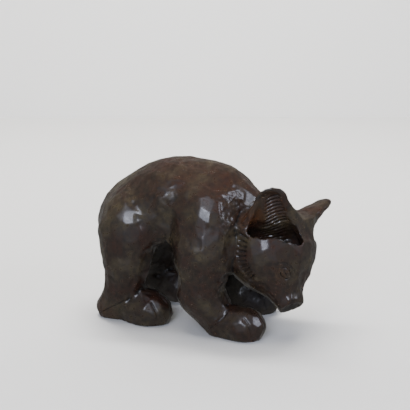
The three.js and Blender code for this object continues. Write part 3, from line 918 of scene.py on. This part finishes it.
@dataclass(frozen=True)
class DarkWaxedWood:
    """Close-grained carving wood such as lime or alder, knife-finished, stained dark and waxed.

    The stain sits unevenly, so the colour wanders between olive brown and red brown. The colour is
    nearly black in the cuts and hollows, painted shade darkens it below the body and head,
    red-brown painted light lies inside the ears' hollows, and the wax gives a soft gloss.

    Attributes:
        olive: the stain where it sits thin and green.
        brown: the stain in between.
        russet: the stain where it turns to red.
        rust_and_painted_light: the red of the wood where the stain is worn, also used as painted
            light inside the ears' hollows.
        pitch: the near-black of the darker spots in the stain, also laid over the cuts and hollows
            and used as painted shade below the body and head.
        stops: where the first three lie in the patches.
        patches: the pattern of those three.
        mottle: the pattern in which the stain soaks in and the wax shines.
        grain: the pattern of the fibres.
        grain_stretch: how much it is squeezed along each axis.
        soak_range: the values of the mottle between which the stain gets darker.
        soak: how much darker it gets.
        hollow_darkening_range: the depths of a hollow between which the colour gets darker, in
            millimetres.
        hollow_darkening: how dark the hollows get.
        gloss_range: the values of the mottle between which the gloss changes.
        gloss_low: the least roughness.
        gloss_high: the greatest.
        dullness: the roughness where the painted shade lies.
        ior: how strongly the surface reflects.
        coat: how much wax lies on it.
        coat_roughness: how rough the wax is.
        ripple: the strength of the ripple of the mottle.
        ripple_height: its height.
        fibre: the strength of the relief of the fibres.
        fibre_height: its height.
    """

    olive: str = "#3a3224"
    brown: str = "#2c221a"
    russet: str = "#2d1c15"
    rust_and_painted_light: str = "#432615"
    pitch: str = "#0d0807"
    stops: tuple[float, float, float] = (0.36, 0.5, 0.66)
    patches: Pattern = Pattern(30 * MM, 3.0, 0.55)
    mottle: Pattern = Pattern(6 * MM, 4.0, 0.6)
    grain: Pattern = Pattern(1.1 * MM, 2.0, 0.5)
    grain_stretch: tuple[float, float, float] = (0.12, 1.0, 1.0)
    soak_range: tuple[float, float] = (0.42, 0.72)
    soak: float = 0.7
    hollow_darkening_range: tuple[float, float] = (0.22, 0.62)
    hollow_darkening: float = 0.9
    gloss_range: tuple[float, float] = (0.35, 0.65)
    gloss_low: float = 0.26
    gloss_high: float = 0.48
    dullness: float = 0.75
    ior: float = 1.45
    coat: float = 0.3
    coat_roughness: float = 0.14
    ripple: float = 0.35
    ripple_height: float = 0.5 * MM
    fibre: float = 0.25
    fibre_height: float = 0.12 * MM

    def material(self) -> bpy.types.Material:
        """Builds the node material."""
        material = bpy.data.materials.new("dark_waxed_wood")
        material.use_nodes = True
        tree = material.node_tree
        shader = tree.nodes["Principled BSDF"]
        place = node(tree, "ShaderNodeTexCoord").outputs["Object"]
        mottle = self.mottle.add(tree, place)
        painted_shade = attribute(tree, Wear.PAINTED_SHADE.value)
        # The wax thins away where the painted shade lies.
        wax = node(
            tree, "ShaderNodeMapRange", {"To Min": self.coat, "To Max": 0.0}, {"Value": painted_shade}
        )
        sources = {
            "Base Color": self.colour(tree, place, mottle, painted_shade),
            "Roughness": self.roughness(tree, mottle, painted_shade),
            "Coat Weight": wax.outputs["Result"],
            "Normal": self.relief(tree, place, mottle),
        }
        for name, source in sources.items():
            tree.links.new(source, shader.inputs[name])
        shader.inputs["IOR"].default_value = self.ior
        shader.inputs["Coat Roughness"].default_value = self.coat_roughness
        return material

    def colour(
        self,
        tree: bpy.types.NodeTree,
        place: bpy.types.NodeSocket,
        mottle: bpy.types.NodeSocket,
        painted_shade: bpy.types.NodeSocket,
    ) -> bpy.types.NodeSocket:
        """Adds the colour: stain patches, worn red places and red-brown painted light in the ears,
        darker spots, darkening in the cuts and hollows, and painted shade below the body and head.

        Args:
            tree: the tree that it joins.
            place: the coordinates.
            mottle: the value of the mottle.
            painted_shade: the share of painted shade.

        Returns:
            The colour.
        """
        stain = node(tree, "ShaderNodeValToRGB", {}, {"Fac": self.patches.add(tree, place)})
        ramp(stain, list(zip(self.stops, (self.olive, self.brown, self.russet))))
        # Red where the stain is worn back, and red-brown painted light inside the ears' hollows.
        warm = blend(tree, stain.outputs["Color"], self.rust_and_painted_light, attribute(tree, Wear.RUST_AND_PAINTED_LIGHT.value))
        depth = node(tree, "ShaderNodeMapRange", span(self.soak_range), {"Value": mottle})
        settings = {"operation": "MULTIPLY", 1: self.soak}
        soak = node(tree, "ShaderNodeMath", settings, {0: depth.outputs["Result"]})
        soaked = blend(tree, warm, self.pitch, soak.outputs["Value"])
        # Darker in the cuts and hollows, the deeper they lie below their surroundings.
        settings = span(self.hollow_darkening_range) | {"To Max": self.hollow_darkening}
        hollow_darkening = node(tree, "ShaderNodeMapRange", settings, {"Value": attribute(tree, HOLLOW)})
        # Near-black where the hollows are deep and where the painted shade lies, whichever is
        # stronger.
        links = {0: hollow_darkening.outputs["Result"], 1: painted_shade}
        dark = node(tree, "ShaderNodeMath", {"operation": "MAXIMUM"}, links)
        return blend(tree, soaked, self.pitch, dark.outputs["Value"])

    def roughness(
        self,
        tree: bpy.types.NodeTree,
        mottle: bpy.types.NodeSocket,
        painted_shade: bpy.types.NodeSocket,
    ) -> bpy.types.NodeSocket:
        """Adds the uneven gloss, which is dull where the painted shade lies.

        Args:
            tree: the tree that it joins.
            mottle: the value of the mottle.
            painted_shade: the share of painted shade.

        Returns:
            The roughness.
        """
        settings = span(self.gloss_range)
        settings |= {"To Min": self.gloss_low, "To Max": self.gloss_high}
        gloss = node(tree, "ShaderNodeMapRange", settings, {"Value": mottle})
        settings = {"data_type": "FLOAT", "B": self.dullness}
        links = {"A": gloss.outputs["Result"], "Factor": painted_shade}
        return node(tree, "ShaderNodeMix", settings, links).outputs["Result"]

    def relief(
        self,
        tree: bpy.types.NodeTree,
        place: bpy.types.NodeSocket,
        mottle: bpy.types.NodeSocket,
    ) -> bpy.types.NodeSocket:
        """Adds the ripple of the mottle and the fine relief of the fibres.

        Args:
            tree: the tree that it joins.
            place: the coordinates.
            mottle: the value of the mottle.

        Returns:
            The normal.
        """
        settings = {"Scale": self.grain_stretch}
        stretch = node(tree, "ShaderNodeMapping", settings, {"Vector": place})
        settings = {"Strength": self.ripple, "Distance": self.ripple_height}
        ripple = node(tree, "ShaderNodeBump", settings, {"Height": mottle})
        links = {
            "Height": self.grain.add(tree, stretch.outputs["Vector"]),
            "Normal": ripple.outputs["Normal"],
        }
        settings = {"Strength": self.fibre, "Distance": self.fibre_height}
        return node(tree, "ShaderNodeBump", settings, links).outputs["Normal"]


@dataclass
class BearCub:
    """The whole carving: the block, its facets and its fine cuts.

    Attributes:
        node: the name of the solid.
        cell: the size of a cell of the mesh, in millimetres.
        rubbing: how often the solid's own facets are rubbed.
        middle: how far to the left the middle between the legs lies.
        hind_aside: how far the hind feet stand from it.
        fore_aside: how far the fore feet stand from it.
        paw_back: how far the left fore foot stands behind the right one.
        cup: the middle of an ear's hollow, in head measures.
        head: where the head hangs.
        finish: the look of the wood.
    """

    node: str = "bear_cub"
    cell: float = 1.9
    rubbing: int = 10
    middle: float = -2.5
    hind_aside: float = 42
    fore_aside: float = 41
    paw_back: float = 14
    cup: Mark = (-22, 44, 41)
    head: HeadPose = field(default_factory=HeadPose)
    finish: DarkWaxedWood = field(default_factory=DarkWaxedWood)

    def on_head(self, side: Side, mark: Mark) -> Vector:
        """Gives the place of a left-hand head measure on that side."""
        forward, left, up = mark
        return self.head.place(forward, side.value * left, up)

    def wear_and_painted_light(self) -> list[WearOrPaintedLight]:
        """Lists the worn red places of the back, heels, ear rims and eyes, the red-brown painted
        light inside each ear's hollow, and the painted shade below the body, under the head and on
        the nose.
        """
        made = [
            WearOrPaintedLight(Vector((-8, -25, 186)), radius=62, strength=0.15),
            WearOrPaintedLight(Vector((40, -20, 165)), radius=45, strength=0.2),
            # Painted shade: dark, dull patches under the belly, between the legs, under the head
            # and chest, on the far fore paw and on the nose's flat end.
            WearOrPaintedLight(Vector((10, 0, 40)), radius=62, tint=Wear.PAINTED_SHADE),
            WearOrPaintedLight(Vector((-40, 0, 45)), radius=58, tint=Wear.PAINTED_SHADE),
            WearOrPaintedLight(Vector((62, 8, 30)), radius=52, tint=Wear.PAINTED_SHADE),
            WearOrPaintedLight(Vector((60, 44, 20)), radius=50, strength=0.9, tint=Wear.PAINTED_SHADE),
            WearOrPaintedLight(self.head.place(70, 0, -4), radius=17, strength=0.9, tint=Wear.PAINTED_SHADE),
        ]
        for side in Side:
            heel = Vector((-104, self.hind_aside * side.value + self.middle, 14))
            made += [
                WearOrPaintedLight(heel, radius=30, strength=0.8),
                WearOrPaintedLight(self.on_head(side, (-24, 52, 26)), radius=26, strength=0.9),
                # Painted light: red-brown laid inside each ear's hollow, which the lamps hardly
                # reach.
                WearOrPaintedLight(self.on_head(side, self.cup), radius=30, strength=0.55),
                WearOrPaintedLight(self.on_head(side, (38, 32, 18)), radius=16, strength=0.5),
            ]
        return made

    def feet(self, side: Side) -> tuple[Foot, Foot]:
        """Gives the hind and the fore foot of one side."""
        back = self.paw_back if side is Side.LEFT else 0
        hind = Foot(
            toes=(-54.5, self.hind_aside * side.value + self.middle, 14),
            half=(32, 23, 24),
            crease=((-111, 5), (-64, 33)),
        )
        fore = Foot(
            toes=(63.5 - back, self.fore_aside * side.value + self.middle, 14),
            half=(30, 23, 23),
            crease=((29 - back, 5), (53 - back, 32)),
        )
        return hind, fore

    def build(self) -> bpy.types.Object:
        """Carves the cub and dresses it."""
        block = Block(self.node, self.cell)
        block.soften(self.rubbing)
        KnifeFacets(spared=tuple(self.on_head(side, self.cup) for side in Side)).carve(block)
        block.cut(Stipple().strokes(block))
        block.refresh()
        strokes = []
        for side in Side:
            carver = HeadCarver(self.head, block, side)
            for detail in (Ruff(), Eye(), Muzzle(), Ear()):
                strokes.extend(detail.strokes(carver))
            for foot in self.feet(side):
                strokes.extend(foot.strokes(block, side))
        block.refine(strokes)
        block.cut(strokes)
        piece = block.piece("carved_cub", self.wear_and_painted_light())
        piece.data.materials.append(self.finish.material())
        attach(piece, "root")
        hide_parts(self.node)
        return piece


@dataclass
class Room:
    """The pale floor and the wall behind it; the wood doesn't mirror them."""

    floor_colour: str = "#c9c8c6"
    wall_colour: str = "#f4f3f0"
    roughness: float = 0.6
    size: float = 6.0
    wall_gap: float = 1.2
    turn: float = VIEW_TURN

    def build(self) -> None:
        """Makes the floor and the wall as stage pieces."""
        upright = Matrix.Rotation(self.turn, 4, "Z") @ Matrix.Translation((0, self.wall_gap, 0))
        upright @= Matrix.Rotation(math.radians(90), 4, "X")
        self.plane("floor", self.floor_colour, Matrix.Identity(4))
        self.plane("wall", self.wall_colour, upright)

    def plane(self, name: str, colour: str, placed: Matrix) -> None:
        """Makes one plane.

        Args:
            name: its name.
            colour: the sRGB hex value of its paint.
            placed: where it stands.
        """
        plane = bmesh.new()
        bmesh.ops.create_grid(plane, x_segments=1, y_segments=1, size=self.size / 2)
        bmesh.ops.transform(plane, matrix=placed, verts=plane.verts)
        mesh = bpy.data.meshes.new(name)
        plane.to_mesh(mesh)
        plane.free()
        piece = bpy.data.objects.new(name, mesh)
        bpy.context.scene.collection.objects.link(piece)
        material = bpy.data.materials.new(f"pale_{name}")
        material.use_nodes = True
        shader = material.node_tree.nodes["Principled BSDF"]
        shader.inputs["Base Color"].default_value = linear(colour)
        shader.inputs["Roughness"].default_value = self.roughness
        mesh.materials.append(material)
        piece.visible_glossy = False


@dataclass(frozen=True)
class Lamp:
    """One rectangular soft light, which the wax may mirror."""

    name: str
    place: tuple[float, float, float]
    aim: tuple[float, float, float]
    size: tuple[float, float]
    power: float
    colour: str = "#ffffff"
    mirrored: bool = True

    def build(self) -> None:
        """Makes the lamp and turns it to its aim."""
        light = bpy.data.lights.new(self.name, "AREA")
        light.shape = "RECTANGLE"
        light.size, light.size_y = self.size
        light.energy = self.power
        light.color = linear(self.colour)[:3]
        lamp = bpy.data.objects.new(self.name, light)
        lamp.location = self.place
        way = Vector(self.aim) - Vector(self.place)
        lamp.rotation_euler = way.to_track_quat("-Z", "Y").to_euler()
        lamp.visible_glossy = self.mirrored
        bpy.context.scene.collection.objects.link(lamp)


@dataclass
class Studio:
    """The soft light of a room with a window at the upper left, and the photograph's camera."""

    lamps: tuple[Lamp, ...] = (
        Lamp("window", (0.2, -1.5, 0.95), (0, 0, 0.1), (0.7, 0.8), 24, "#e2eaff"),
        Lamp("side_window", (1.4, -0.1, 0.95), (0, 0, 0.1), (0.5, 0.6), 9, "#e2eaff"),
        Lamp("ceiling", (-0.2, 0.1, 2.0), (0, 0, 0), (1.2, 1.2), 38, "#fffaf2", mirrored=False),
        Lamp("wall_wash", (-0.35, 0.6, 1.9), (-0.5, 1.1, 0.6), (1.6, 0.3), 75, mirrored=False),
    )
    world_colour: str = "#e8e8e6"
    world_strength: float = 0.32
    turn: float = VIEW_TURN
    rise: float = math.radians(22)
    distance: float = 1.25
    origin: tuple[float, float] = (-0.01649, -0.00251)
    origin_pixel: tuple[float, float] = (191, 313)
    pixels_per_metre: float = 830.0
    frame_pixels: float = 410.0
    sensor: float = 36
    clip_start: float = 0.05

    def camera(self) -> None:
        """Sets the camera so that the ground below the cub falls on its pixel."""
        across = Vector((math.cos(self.turn), math.sin(self.turn), 0))
        flat = Vector((math.sin(self.turn), -math.cos(self.turn), 0))
        back = flat * math.cos(self.rise) + Vector((0, 0, math.sin(self.rise)))
        upward = Vector((0, 0, math.cos(self.rise))) - flat * math.sin(self.rise)
        middle = self.frame_pixels / 2
        aside = (middle - self.origin_pixel[0]) / self.pixels_per_metre
        above = (self.origin_pixel[1] - middle) / self.pixels_per_metre
        ground = Vector((*self.origin, 0))
        place = ground + back * self.distance
        way = ground + across * aside + upward * above - place
        data = bpy.data.cameras.new("camera")
        data.sensor_width = self.sensor
        data.lens = self.sensor * self.pixels_per_metre * self.distance / self.frame_pixels
        data.clip_start = self.clip_start
        camera = bpy.data.objects.new("camera", data)
        camera.location = place
        camera.rotation_euler = way.to_track_quat("-Z", "Y").to_euler()
        bpy.context.scene.collection.objects.link(camera)
        bpy.context.scene.camera = camera

    def build(self) -> None:
        """Makes the camera, the lamps and the light of the room."""
        self.camera()
        for lamp in self.lamps:
            lamp.build()
        world = bpy.data.worlds.new("room_light")
        world.use_nodes = True
        background = world.node_tree.nodes["Background"]
        background.inputs["Color"].default_value = linear(self.world_colour)
        background.inputs["Strength"].default_value = self.world_strength
        bpy.context.scene.world = world


def main() -> None:
    """Builds the studio and the cub."""
    logging.basicConfig(level=logging.INFO, format="%(message)s")
    Studio().build()
    Room().build()
    piece = BearCub().build()
    log.info("%s: %d triangles", piece.name, len(piece.data.polygons))


if __name__ == "__main__":
    main()
